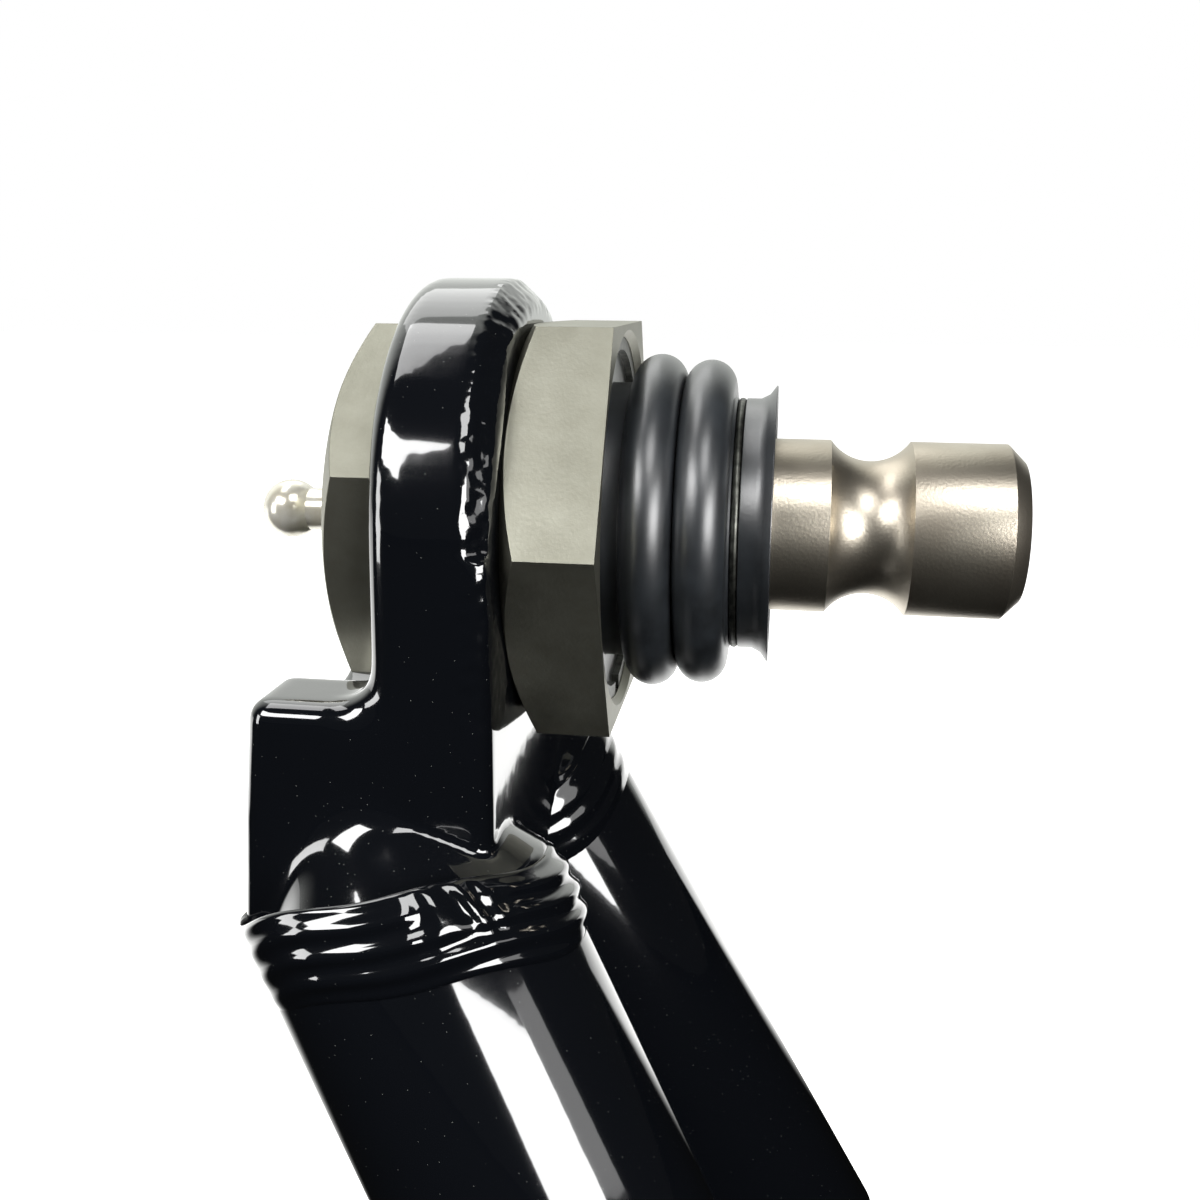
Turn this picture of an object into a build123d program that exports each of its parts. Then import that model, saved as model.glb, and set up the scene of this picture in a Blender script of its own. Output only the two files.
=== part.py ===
# Suspension ball joint, clamped in the outer end of its control arm. Millimetres, +Z up.
# Origin at the centre of the ball. The stud points along +X, and the arm's two tubes
# lean away below, one on each side of the plane Y = 0.
from build123d import *
import os
from math import cos, radians, sin, sqrt, tan

os.makedirs("parts", exist_ok=True)

# ---- driving dimensions ----
# ball stud
ball_r = 12.0
neck_r = 6.5
shank_r = 9.0
neck_end = 13.5
shank_start = 18.5
groove_centre = 36.4
bolt_r = 5.0
groove_depth = 2.1
stud_tip = 51.8
tip_chamfer = 1.7

# stack of the clamped joint along X
cap_face = -16.5
eye_left = -10.4
eye_width = 12.0
hex_width = 9.5
hex_across = 41.0
cap_across = 36.0
chamfer_angle = 30.0
chamfer_inset = 0.3
cap_turn = 18.6

# housing
barrel_r = 18.5
cavity_r = 15.0
barrel_gap = 0.2
seat_shoulder = 6.6
mouth_r = 10.6
mouth_angle = 40.0
boot_pocket_r = 19.2
boot_pocket_depth = 2.6
pocket_bevel = 0.7
ring_thickness = 0.8
ring_groove_depth = 0.3
ring_width = 1.6
ring_gap_angle = 8.0

# cap and what lies under it
spigot_end = -5.5
spigot_wall = 2.75
cap_wall = 3.4
o_ring_section = 1.6
shim_thickness = 0.5
disc_spring_plate = 0.4
disc_spring_rise = 0.6
seat_clear_of_equator = 0.8
seat_middle = 14.0

# grease nipple
nipple_thread_r = 3.0
nipple_hex_across = 8.0
nipple_hex_height = 3.6
nipple_neck_r = 2.3
nipple_head_r = 3.2
nipple_head_centre = -26.2
nipple_tip = -29.0
nipple_lip = 1.1
nipple_seat_rise = 0.5
nipple_neck_taper = 0.4
nipple_stop = 0.8
nipple_bore_r = 1.25
nipple_mouth_r = 0.75
check_ball_r = 1.0
spring_wire_r = 0.15
spring_turns = 5

# boot
boot_wall = 1.3
boot_flange = 1.0
first_roll = 14.6
second_roll = 19.8
first_roll_outer = 17.5
second_roll_outer = 17.0
roll_inner_drop = 0.6
flange_lip = 0.6
neck_ring_at = 23.1
neck_ring_section = 0.8
collar_r = 13.1
collar_end = 25.2
lip_end = 26.7
lip_r = 14.5
lip_wall = 0.9

# arm end
eye_r = 25.0
foot_inset = 1.4
foot_top = -14.5
foot_bottom = -44.5
foot_lean = 4.8
cap_clearance = 0.5
cut_edge_r = 1.0
foot_edge_r = 2.4
foot_rim_r = 2.0
foot_lap = 4.0
step_r = 3.5
eye_edge_r = 2.6
plate_edge_r = 1.6
eye_bevel = 2.4

# tubes
tube_r = 15.5
tube_wall = 2.5
tube_x = -8.3
tube_top = -37.2
tube_y = 19.5
tube_rake = 27.4
tube_splay = 8.3
floor = -106.0
seam_height = -38.7
seam_slope = 15.6
flare_angle = 36.0
flare_top_r = 2.0
weld_height = 1.2
weld_half = 3.0
weld_edge_r = 0.9

# clearances
running = 0.05
fit = 0.03
grip = 0.1

# ---- sizes that follow ----
eye_right = eye_left + eye_width
hex_face = eye_right + hex_width
pocket_floor = hex_face - boot_pocket_depth
flange_top = pocket_floor + boot_flange
ring_top = flange_top + ring_thickness
neck_start = sqrt(ball_r**2 - neck_r**2)
seat_r = ball_r + running
seat_outer_r = cavity_r - fit
spigot_r = cavity_r - fit
spigot_inner_r = spigot_r - spigot_wall
disc_start = spigot_end + shim_thickness
upper_seat_end = disc_start + disc_spring_rise


def turned(*points):
    """A closed outline of (x, radius) corners, ready to be turned about the X axis."""
    with BuildSketch(Plane.XY) as outline:
        with BuildLine():
            Polyline(*points, close=True)
        make_face()
    return outline.sketch


def save(builder, name):
    builder.part.label = name
    export_step(builder.part, f"parts/{name}.step")


def hexagon(x, across, turn=0.0):
    """A hexagon across the X axis, with corners toward -Y and +Y when the turn is zero."""
    with BuildSketch(Plane.YZ.offset(x)) as outline:
        RegularPolygon(radius=across / 2, side_count=6, major_radius=False, rotation=turn)
    return outline.sketch


def corner_envelope(face_x, across):
    """The turned envelope that gives a hexagon its thirty-degree corner chamfers."""
    wide = across
    chamfer_r = across / 2 - chamfer_inset
    rise = (wide - chamfer_r) * tan(radians(chamfer_angle))
    far = face_x + 2 * hex_width
    return turned((face_x, 0), (face_x, chamfer_r), (face_x + rise, wide), (far, wide), (far, 0))


# ---- ball stud: ball, waisted neck, shank with the pinch-bolt groove ----
shank_end = stud_tip - tip_chamfer
groove_bottom_r = shank_r - groove_depth
groove_arc_centre = groove_bottom_r + bolt_r
groove_half = sqrt(bolt_r**2 - (groove_arc_centre - shank_r) ** 2)
with BuildPart() as ball_stud:
    with BuildSketch(Plane.XY):
        with BuildLine():
            ball_arc = ThreePointArc((-ball_r, 0), (0, ball_r), (neck_start, neck_r))
            neck = Line(ball_arc @ 1, (neck_end, neck_r))
            taper = Line(neck @ 1, (shank_start, shank_r))
            land = Line(taper @ 1, (groove_centre - groove_half, shank_r))
            groove = ThreePointArc(
                land @ 1, (groove_centre, groove_bottom_r), (groove_centre + groove_half, shank_r)
            )
            end_land = Line(groove @ 1, (shank_end, shank_r))
            chamfer_line = Line(end_land @ 1, (stud_tip, shank_r - tip_chamfer))
            Polyline(chamfer_line @ 1, (stud_tip, 0), (-ball_r, 0))
        make_face()
    revolve(axis=Axis.X)
save(ball_stud, "ball_stud")

# ---- housing: hexagonal head, barrel through the eye, mouth for the stud ----
mouth_out_r = mouth_r + (pocket_floor - seat_shoulder) * tan(radians(mouth_angle))
groove_r = boot_pocket_r + ring_groove_depth
with BuildPart() as housing:
    extrude(hexagon(eye_right, hex_across), amount=hex_width)
    revolve(corner_envelope(eye_right, hex_across), axis=Axis.X, mode=Mode.INTERSECT)
    with BuildSketch(Plane.YZ.offset(eye_left + barrel_gap)):
        Circle(barrel_r)
    extrude(amount=eye_width)
    outline = turned(
        (eye_left, 0),
        (eye_left, cavity_r),
        (seat_shoulder, cavity_r),
        (seat_shoulder, mouth_r),
        (pocket_floor, mouth_out_r),
        (pocket_floor, boot_pocket_r),
        (flange_top, boot_pocket_r),
        (flange_top, groove_r),
        (ring_top, groove_r),
        (ring_top, boot_pocket_r),
        (hex_face - pocket_bevel, boot_pocket_r),
        (hex_face, boot_pocket_r + pocket_bevel),
        (hex_face, 0),
    )
    revolve(outline, axis=Axis.X, mode=Mode.SUBTRACT)
save(housing, "housing")

# ---- seats: two rings with a spherical inside that carry the ball ----
lower_start_r = sqrt(seat_r**2 - seat_clear_of_equator**2)
lower_end_r = sqrt(seat_r**2 - seat_shoulder**2)
with BuildPart() as lower_seat:
    with BuildSketch(Plane.XY):
        with BuildLine():
            ThreePointArc(
                (seat_clear_of_equator, lower_start_r),
                (seat_r * sin(radians(seat_middle)), seat_r * cos(radians(seat_middle))),
                (seat_shoulder, lower_end_r),
            )
            Polyline(
                (seat_shoulder, lower_end_r),
                (seat_shoulder, seat_outer_r),
                (seat_clear_of_equator, seat_outer_r),
                (seat_clear_of_equator, lower_start_r),
            )
        make_face()
    revolve(axis=Axis.X)
save(lower_seat, "lower_seat")

upper_end_r = sqrt(seat_r**2 - upper_seat_end**2)
with BuildPart() as upper_seat:
    with BuildSketch(Plane.XY):
        with BuildLine():
            ThreePointArc(
                (-seat_clear_of_equator, lower_start_r),
                (-seat_r * sin(radians(seat_middle)), seat_r * cos(radians(seat_middle))),
                (upper_seat_end, upper_end_r),
            )
            Polyline(
                (upper_seat_end, upper_end_r),
                (upper_seat_end, seat_outer_r),
                (-seat_clear_of_equator, seat_outer_r),
                (-seat_clear_of_equator, lower_start_r),
            )
        make_face()
    revolve(axis=Axis.X)
save(upper_seat, "upper_seat")

# ---- preload shim and disc spring, between the cap's spigot and the upper seat ----
disc_outer_r = seat_outer_r - fit
disc_inner_r = spigot_inner_r
disc_dish = disc_spring_rise - disc_spring_plate
with BuildPart() as preload_shim:
    with BuildSketch(Plane.YZ.offset(spigot_end)):
        Circle(disc_outer_r)
        Circle(disc_inner_r, mode=Mode.SUBTRACT)
    extrude(amount=shim_thickness)
save(preload_shim, "preload_shim")

with BuildPart() as disc_spring:
    outline = turned(
        (disc_start, disc_outer_r),
        (disc_start + disc_dish, disc_inner_r),
        (upper_seat_end, disc_inner_r),
        (upper_seat_end - disc_dish, disc_outer_r),
    )
    revolve(outline, axis=Axis.X)
save(disc_spring, "disc_spring")

# ---- cap: hexagonal head with a threaded hollow spigot that screws into the barrel ----
o_ring_seat_r = cavity_r - o_ring_section
o_ring_seat_end = eye_left + o_ring_section
with BuildPart() as end_cap:
    extrude(hexagon(cap_face, cap_across, cap_turn), amount=eye_left - cap_face)
    revolve(corner_envelope(cap_face, cap_across), axis=Axis.X, mode=Mode.INTERSECT)
    outline = turned(
        (eye_left, 0),
        (eye_left, o_ring_seat_r),
        (o_ring_seat_end, o_ring_seat_r),
        (o_ring_seat_end, spigot_r),
        (spigot_end, spigot_r),
        (spigot_end, 0),
    )
    revolve(outline, axis=Axis.X)
    with BuildSketch(Plane.YZ.offset(cap_face + cap_wall)):
        Circle(spigot_inner_r)
    extrude(amount=spigot_end - cap_face - cap_wall, mode=Mode.SUBTRACT)
    with BuildSketch(Plane.YZ.offset(cap_face)):
        Circle(nipple_thread_r + fit)
    extrude(amount=cap_wall, mode=Mode.SUBTRACT)
save(end_cap, "end_cap")

o_ring_r = o_ring_section / 2 - fit
with BuildPart() as cap_o_ring:
    with BuildSketch(Plane.XY):
        with Locations((eye_left + o_ring_section / 2, cavity_r - o_ring_section / 2)):
            Circle(o_ring_r)
    revolve(axis=Axis.X)
save(cap_o_ring, "cap_o_ring")

# ---- grease nipple: hollow body, check ball and its spring ----
nipple_seat_x = nipple_tip + nipple_lip
thread_end = cap_face + cap_wall
head_flat_r = sqrt(nipple_head_r**2 - (nipple_tip - nipple_head_centre) ** 2)
head_neck_x = nipple_head_centre + sqrt(nipple_head_r**2 - nipple_neck_r**2)
hex_outer_x = cap_face - nipple_hex_height
spring_stop = thread_end - nipple_stop
neck_base_r = nipple_neck_r + nipple_neck_taper
with BuildPart() as nipple_body:
    with BuildSketch(Plane.YZ.offset(hex_outer_x)):
        RegularPolygon(radius=nipple_hex_across / 2, side_count=6, major_radius=False)
    extrude(amount=nipple_hex_height)
    with BuildSketch(Plane.XY):
        with BuildLine():
            head_arc = ThreePointArc(
                (nipple_tip, head_flat_r),
                (nipple_head_centre, nipple_head_r),
                (head_neck_x, nipple_neck_r),
            )
            Polyline(
                head_arc @ 1,
                (hex_outer_x, neck_base_r),
                (cap_face, neck_base_r),
                (cap_face, nipple_thread_r),
                (thread_end, nipple_thread_r),
                (thread_end, 0),
                (nipple_tip, 0),
                head_arc @ 0,
            )
        make_face()
    revolve(axis=Axis.X)
    outline = turned(
        (nipple_tip, 0),
        (nipple_tip, nipple_mouth_r),
        (nipple_seat_x, nipple_mouth_r),
        (nipple_seat_x + nipple_seat_rise, nipple_bore_r),
        (spring_stop, nipple_bore_r),
        (spring_stop, nipple_mouth_r),
        (thread_end, nipple_mouth_r),
        (thread_end, 0),
    )
    revolve(outline, axis=Axis.X, mode=Mode.SUBTRACT)
save(nipple_body, "nipple_body")

ball_touch = sqrt((check_ball_r + fit) ** 2 - nipple_mouth_r**2)
check_ball_x = nipple_seat_x + ball_touch
with BuildPart() as check_ball:
    with Locations((check_ball_x, 0, 0)):
        Sphere(check_ball_r)
save(check_ball, "check_ball")

spring_start = check_ball_x + check_ball_r + spring_wire_r + fit
spring_length = spring_stop - spring_wire_r - fit - spring_start
spring_r = nipple_bore_r - spring_wire_r - grip
with BuildPart() as nipple_spring:
    with BuildLine():
        coil = Helix(
            pitch=spring_length / spring_turns,
            height=spring_length,
            radius=spring_r,
            center=(spring_start, 0, 0),
            direction=(1, 0, 0),
        )
    with BuildSketch(Plane(origin=coil @ 0, z_dir=coil % 0)):
        RegularPolygon(radius=spring_wire_r, side_count=6)
    sweep(is_frenet=True)
save(nipple_spring, "nipple_spring")

# ---- boot: flange in the pocket, two rolls, a gripped neck and a flared lip ----
roll_r = (second_roll - first_roll) / 2
inner_r = roll_r - boot_wall
first_roll_r = first_roll_outer - roll_r
second_roll_r = second_roll_outer - roll_r
neck_bore_r = shank_r + grip
groove_floor_r = collar_r - neck_ring_section
groove_side = neck_ring_section / 2 + fit
flange_inner_r = mouth_out_r + flange_lip
with BuildPart() as boot:
    with BuildSketch(Plane.XY):
        with BuildLine():
            flange = Polyline(
                (pocket_floor, boot_pocket_r - grip),
                (flange_top, boot_pocket_r - grip),
                (flange_top, first_roll_r),
                (first_roll - roll_r, first_roll_r),
            )
            roll_one = ThreePointArc(
                flange @ 1, (first_roll, first_roll_outer), (first_roll + roll_r, first_roll_r)
            )
            valley = Line(roll_one @ 1, (second_roll - roll_r, second_roll_r))
            roll_two = ThreePointArc(
                valley @ 1, (second_roll, second_roll_outer), (second_roll + roll_r, second_roll_r)
            )
            collar = Polyline(
                roll_two @ 1,
                (neck_ring_at - groove_side, groove_floor_r),
                (neck_ring_at + groove_side, groove_floor_r),
                (neck_ring_at + groove_side, collar_r),
                (collar_end, collar_r),
                (lip_end, lip_r),
                (lip_end, lip_r - lip_wall),
                (collar_end, neck_bore_r),
                (second_roll + roll_r, neck_bore_r),
                (second_roll + inner_r, second_roll_r - roll_inner_drop),
            )
            inside_two = ThreePointArc(
                collar @ 1,
                (second_roll, second_roll_r + inner_r),
                (second_roll - inner_r, second_roll_r - roll_inner_drop),
            )
            inside_valley = Line(inside_two @ 1, (first_roll + inner_r, first_roll_r - roll_inner_drop))
            inside_one = ThreePointArc(
                inside_valley @ 1,
                (first_roll, first_roll_r + inner_r),
                (first_roll - inner_r, first_roll_r - roll_inner_drop),
            )
            Polyline(
                inside_one @ 1,
                (flange_top, flange_inner_r),
                (pocket_floor, flange_inner_r),
                (pocket_floor, boot_pocket_r - grip),
            )
        make_face()
    revolve(axis=Axis.X)
save(boot, "boot")

# ---- rings that hold the boot: a split ring in the housing and a ring in the neck groove ----
split_ring_r = groove_r - fit
ring_gap = 2 * split_ring_r * sin(radians(ring_gap_angle / 2))
with BuildPart() as boot_split_ring:
    with BuildSketch(Plane.YZ.offset(flange_top)):
        Circle(split_ring_r)
        Circle(split_ring_r - ring_width, mode=Mode.SUBTRACT)
        with Locations((0, -split_ring_r)):
            Rectangle(ring_gap, 4 * ring_width, mode=Mode.SUBTRACT)
    extrude(amount=ring_thickness)
save(boot_split_ring, "boot_split_ring")

with BuildPart() as boot_neck_ring:
    with BuildSketch(Plane.XY):
        with Locations((neck_ring_at, groove_floor_r + fit + neck_ring_section / 2)):
            Circle(neck_ring_section / 2)
    revolve(axis=Axis.X)
save(boot_neck_ring, "boot_neck_ring")

# ---- arm end: eye, plate and the two feet that the tubes are welded to ----
foot_left = tube_x - tube_r + foot_inset
foot_reach = eye_left - foot_left
seam_tangent = tan(radians(seam_slope))


def tube_plane(side):
    """The plane across one tube's axis at its root, with its normal pointing up the tube."""
    lean = Vector(-tan(radians(tube_rake)), side * tan(radians(tube_splay)), 1)
    return Plane(origin=(tube_x, -side * tube_y, tube_top), x_dir=(0, 1, 0), z_dir=lean)


def seam_plane(side):
    """The plane of one tube's seam, which rises toward the stud and toward the arm's outside."""
    lean = Vector(-seam_tangent, side * seam_tangent, 1)
    return Plane(origin=(tube_x, -side * tube_y, seam_height), x_dir=(1, 0, seam_tangent), z_dir=lean)


def at_x(x):
    return lambda edge: all(abs(v.X - x) < 0.01 for v in edge.vertices())


def on_top_of_foot(edge):
    return all(abs(v.Z - foot_top) < 0.01 for v in edge.vertices())


def over_the_foot(edge):
    return edge.center().X < eye_left + foot_lap - 0.1


def left_of_foot(edge):
    return all(v.X < foot_left + 0.01 for v in edge.vertices())


def leaning_edge(edge):
    return left_of_foot(edge) and abs(edge.center().Y) > eye_r - 0.01


# the foot block, cut away round so that the cap can be screwed in past it
cap_clear_r = cap_across / 2 / cos(radians(30)) + cap_clearance
foot_spread = (foot_top - foot_bottom) * tan(radians(foot_lean))
with BuildPart() as foot_block:
    with BuildSketch(Plane.XZ):
        with BuildLine():
            Polyline(
                (foot_left, foot_top),
                (eye_left + foot_lap, foot_top),
                (eye_left + foot_lap, foot_bottom),
                (foot_left - foot_spread, foot_bottom),
                close=True,
            )
        make_face()
    extrude(amount=eye_r, both=True)
    fillet(foot_block.edges().filter_by(leaning_edge), foot_edge_r)
    fillet(foot_block.edges().filter_by(on_top_of_foot).filter_by(over_the_foot), foot_rim_r)
    with BuildSketch(Plane.YZ.offset(eye_left)):
        Circle(cap_clear_r)
    extrude(amount=-foot_reach - foot_spread, mode=Mode.SUBTRACT)
    fillet(foot_block.edges().filter_by(GeomType.ELLIPSE).filter_by(left_of_foot), cut_edge_r)

flare_height = (tube_r - flare_top_r) / tan(radians(flare_angle))
with BuildPart() as arm_end:
    with BuildSketch(Plane.YZ.offset(eye_left)):
        Circle(eye_r)
        with Locations((0, foot_bottom / 2)):
            Rectangle(2 * eye_r, -foot_bottom)
    extrude(amount=eye_width)
    lowest_edge = arm_end.edges().filter_by(at_x(eye_left)).sort_by(Axis.Z)[0]
    fillet(arm_end.edges().filter_by(at_x(eye_left)) - [lowest_edge], eye_edge_r)
    fillet(arm_end.edges().filter_by(at_x(eye_right)).filter_by(Axis.Z), plate_edge_r)
    bevel = turned(
        (eye_right - eye_bevel, eye_r + 1),
        (eye_right - eye_bevel, eye_r),
        (eye_right, eye_r - eye_bevel),
        (eye_right + 1, eye_r - eye_bevel),
        (eye_right + 1, eye_r + 1),
    )
    revolve(bevel, axis=Axis.X, revolution_arc=180, mode=Mode.SUBTRACT)
    add(foot_block.part)
    step = arm_end.edges().filter_by(on_top_of_foot).filter_by(at_x(eye_left))
    fillet(step, step_r)
    with BuildSketch(Plane.YZ.offset(eye_left)):
        Circle(cap_clear_r)
    extrude(amount=-foot_reach - foot_spread, mode=Mode.SUBTRACT)
    for side in (1, -1):
        with Locations(tube_plane(side)):
            Cone(tube_r, flare_top_r, flare_height, align=(Align.CENTER, Align.CENTER, Align.MIN))
            Cylinder(tube_r, flare_height, align=(Align.CENTER, Align.CENTER, Align.MAX))
    for side in (1, -1):
        split(bisect_by=seam_plane(side), keep=Keep.TOP)
    with BuildSketch(Plane.YZ.offset(eye_left)):
        Circle(barrel_r + fit)
    extrude(amount=eye_width, mode=Mode.SUBTRACT)
save(arm_end, "arm_end")

# ---- tubes: mitred to the feet at the top and cut level at the bottom ----
tube_length = (tube_top - floor) / cos(radians(tube_rake)) + 2 * tube_r
for side, name in ((1, "front"), (-1, "rear")):
    with BuildPart() as tube:
        with BuildSketch(tube_plane(side).offset(flare_height)):
            Circle(tube_r)
            Circle(tube_r - tube_wall, mode=Mode.SUBTRACT)
        extrude(amount=-tube_length)
        split(bisect_by=seam_plane(side), keep=Keep.BOTTOM)
        split(bisect_by=Plane.XY.offset(floor), keep=Keep.TOP)
    save(tube, f"{name}_tube")

    # the weld bead: a rounded collar over the joint of foot and tube
    with BuildPart() as weld:
        with BuildSketch(tube_plane(side).offset(flare_height)):
            Circle(tube_r + weld_height)
            Circle(tube_r, mode=Mode.SUBTRACT)
        extrude(amount=-2 * flare_height)
        split(bisect_by=seam_plane(side).offset(weld_half), keep=Keep.BOTTOM)
        split(bisect_by=seam_plane(side).offset(-weld_half), keep=Keep.TOP)
        outer = weld.faces().sort_by(SortBy.AREA)[-1].edges()
        fillet(outer, weld_edge_r)
        add(arm_end.part, mode=Mode.SUBTRACT)
    save(weld, f"{name}_weld")
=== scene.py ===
from math import atan2, cos, degrees, hypot, pi, radians, sin, sqrt, tan

import bpy
from mathutils import Matrix, Vector


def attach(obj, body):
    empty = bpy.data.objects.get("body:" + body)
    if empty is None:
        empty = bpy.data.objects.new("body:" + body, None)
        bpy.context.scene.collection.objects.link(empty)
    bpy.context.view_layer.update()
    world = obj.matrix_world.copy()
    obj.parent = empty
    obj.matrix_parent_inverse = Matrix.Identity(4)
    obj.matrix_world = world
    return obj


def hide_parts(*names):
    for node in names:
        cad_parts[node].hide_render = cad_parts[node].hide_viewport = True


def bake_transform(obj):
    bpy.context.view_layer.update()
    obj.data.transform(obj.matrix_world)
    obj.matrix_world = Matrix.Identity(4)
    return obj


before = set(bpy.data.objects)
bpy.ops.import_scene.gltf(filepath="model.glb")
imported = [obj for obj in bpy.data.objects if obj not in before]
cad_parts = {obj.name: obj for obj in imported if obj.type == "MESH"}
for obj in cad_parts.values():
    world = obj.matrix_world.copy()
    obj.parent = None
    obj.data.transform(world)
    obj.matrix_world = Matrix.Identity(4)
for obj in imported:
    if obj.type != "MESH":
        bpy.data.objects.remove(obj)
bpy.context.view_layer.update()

# ---- Arm end ----
# The eye that holds the joint and the two feet below it are one steel forging. The tubes
# are welded to it, and then the whole arm is powder coated in one thick gloss black film
# that rounds every edge.
mm = 0.001
eye_x = (-10.4, 1.6)
eye_r = 25.0
paint_voxel = 0.42
paint_softening = 7
tube_r = 15.5
tube_x = -8.3
tube_y = 19.5
tube_top = -37.2
tube_rake = 27.4
tube_splay = 8.3
flare_angle = 36.0
flare_softening = 170
flare_reach = 5.0
hollow_end = -9.0
hollow_rise = (-2.0, 17.0)
crease_half = 1.0
crease_weight = 0.05
edge_reach = 4.2
edge_softening = 90
edge_fade = (2.0, 12.0)
bevel_width = 2.8
bevel_inner_r = 22.0
bevel_bottom = -16.0
pit_size = 1.1
pit_depth = 0.28


def linear(colour):
    """The linear RGBA of an sRGB hex colour."""
    parts = [int(colour[i : i + 2], 16) / 255 for i in (1, 3, 5)]
    return [c / 12.92 if c <= 0.04045 else ((c + 0.055) / 1.055) ** 2.4 for c in parts] + [1]


def add_node(material, kind, settings=(), feeds=(), stops=()):
    """Adds a node with its settings, the sockets that feed it and a colour ramp's stops."""
    node = material.node_tree.nodes.new(kind)
    for name, value in dict(settings).items():
        if name in node.inputs.keys() or isinstance(name, int):
            node.inputs[name].default_value = value
        else:
            setattr(node, name, value)
    for name, source in dict(feeds).items():
        material.node_tree.links.new(source, node.inputs[name])
    for i, (place, colour) in enumerate(stops):
        ramp = node.color_ramp.elements
        stop = ramp[i] if i < 2 else ramp.new(place)
        stop.position = place
        stop.color = linear(colour)
    return node


def new_finish(name, colour, **sockets):
    """A material with its main shader's sockets set."""
    material = bpy.data.materials.new(name)
    material.use_nodes = True
    shader = material.node_tree.nodes["Principled BSDF"]
    shader.inputs["Base Color"].default_value = linear(colour)
    for socket, value in sockets.items():
        shader.inputs[socket.replace("_", " ")].default_value = value
    return material, shader


def select_only(piece, *others):
    """Selects a piece, with any others, and makes it the active one."""
    bpy.ops.object.select_all(action="DESELECT")
    for chosen in (piece, *others):
        chosen.select_set(True)
    bpy.context.view_layer.objects.active = piece


def apply_modifiers(piece):
    """Applies all of a piece's modifiers, in their order."""
    select_only(piece)
    for modifier in list(piece.modifiers):
        bpy.ops.object.modifier_apply(modifier=modifier.name)


def smooth_by_angle(piece, angle):
    """Shades a piece smooth, except at edges sharper than an angle in degrees."""
    select_only(piece)
    bpy.ops.object.shade_smooth_by_angle(angle=radians(angle))


def copy_of_node(node, name):
    """A merged copy of a node's mesh, as the start of a finished piece."""
    piece = bpy.data.objects.new(name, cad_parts[node].data.copy())
    piece.data.name = name
    piece.data.materials.clear()
    bpy.context.scene.collection.objects.link(piece)
    select_only(piece)
    bpy.ops.object.mode_set(mode="EDIT")
    bpy.ops.mesh.select_all(action="SELECT")
    bpy.ops.mesh.remove_doubles(threshold=2e-6)
    bpy.ops.mesh.customdata_custom_splitnormals_clear()
    bpy.ops.object.mode_set(mode="OBJECT")
    return piece


def clamp(value):
    """Keeps a value between 0 and 1."""
    return max(0.0, min(1.0, value))


def tube_axis(side):
    """The middle of a tube's top end and the way down its axis. Side 1 is the front tube."""
    top = Vector((tube_x, -side * tube_y, tube_top))
    down = Vector((tan(radians(tube_rake)), -side * tan(radians(tube_splay)), -1)).normalized()
    return top, down


# Gloss black powder coat: a deep black that mirrors the lamps, with a faint orange peel
# about two millimetres across and a little dust that catches the light.
peel_size = 2.2
dust_size = 0.9
gloss_black, shader = new_finish(
    "gloss_black_powder_coat",
    "#0b0d11",
    Roughness=0.1,
    IOR=1.5,
    Coat_Weight=1.0,
    Coat_Roughness=0.035,
    Coat_IOR=1.65,
)
place = add_node(gloss_black, "ShaderNodeTexCoord")
peel = add_node(
    gloss_black,
    "ShaderNodeTexNoise",
    {"Scale": 1 / (peel_size * mm), "Detail": 1.0, "Roughness": 0.4},
    {"Vector": place.outputs["Object"]},
)
peel_bump = add_node(
    gloss_black,
    "ShaderNodeBump",
    {"Strength": 0.25, "Distance": 0.03 * mm},
    {"Height": peel.outputs["Fac"]},
)
gloss_black.node_tree.links.new(peel_bump.outputs["Normal"], shader.inputs["Normal"])
gloss_black.node_tree.links.new(peel_bump.outputs["Normal"], shader.inputs["Coat Normal"])
dust = add_node(
    gloss_black,
    "ShaderNodeTexVoronoi",
    {"Scale": 1 / (dust_size * mm)},
    {"Vector": place.outputs["Object"]},
)
dust_colour = add_node(
    gloss_black,
    "ShaderNodeValToRGB",
    {},
    {"Fac": dust.outputs["Distance"]},
    [(0.035, "#6f716d"), (0.06, "#0b0d11")],
)
gloss_black.node_tree.links.new(dust_colour.outputs["Color"], shader.inputs["Base Color"])

arm_end = copy_of_node("arm_end", "eye_and_feet")
film = arm_end.modifiers.new("film", "REMESH")
film.mode = "VOXEL"
film.voxel_size = paint_voxel * mm
apply_modifiers(arm_end)

# Each foot swells into a round socket for its tube. Below the cap that swelling is one soft
# hollow, and its crease is sharp further along. The plate's edge beside the cap is round.
# Each vertex group holds how far the mesh is softened there.
film_group = arm_end.vertex_groups.new(name="film")
hollow = arm_end.vertex_groups.new(name="hollow")
round_edge = arm_end.vertex_groups.new(name="round_edge")
for v in arm_end.data.vertices:
    point = v.co / mm
    top, down = tube_axis(1 if point.y < 0 else -1)
    offset = point - top
    rise = -offset.dot(down)
    spread = (offset + down * rise).length
    to_cone = abs(spread - tube_r + rise * tan(radians(flare_angle))) * cos(radians(flare_angle))
    to_side = abs(abs(point.y) - eye_r)
    to_crease = max(to_cone, to_side)
    nearness = 1 - to_crease / flare_reach
    if nearness > 0 and hollow_rise[0] < rise < hollow_rise[1] and point.x < hollow_end:
        hollow.add([v.index], clamp(2 * nearness), "REPLACE")
    on_crease = to_crease < crease_half and point.x >= hollow_end
    film_group.add([v.index], crease_weight if on_crease else 1.0, "REPLACE")
    rim = hypot(point.y, point.z) if point.z > 0 else abs(point.y)
    to_edge = max(abs(point.x - eye_x[0]), abs(rim - eye_r))
    if to_edge < edge_reach:
        fade = clamp((edge_fade[1] - point.z) / (edge_fade[1] - edge_fade[0]))
        round_edge.add([v.index], fade * clamp(2 - 2 * to_edge / edge_reach), "REPLACE")
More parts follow.
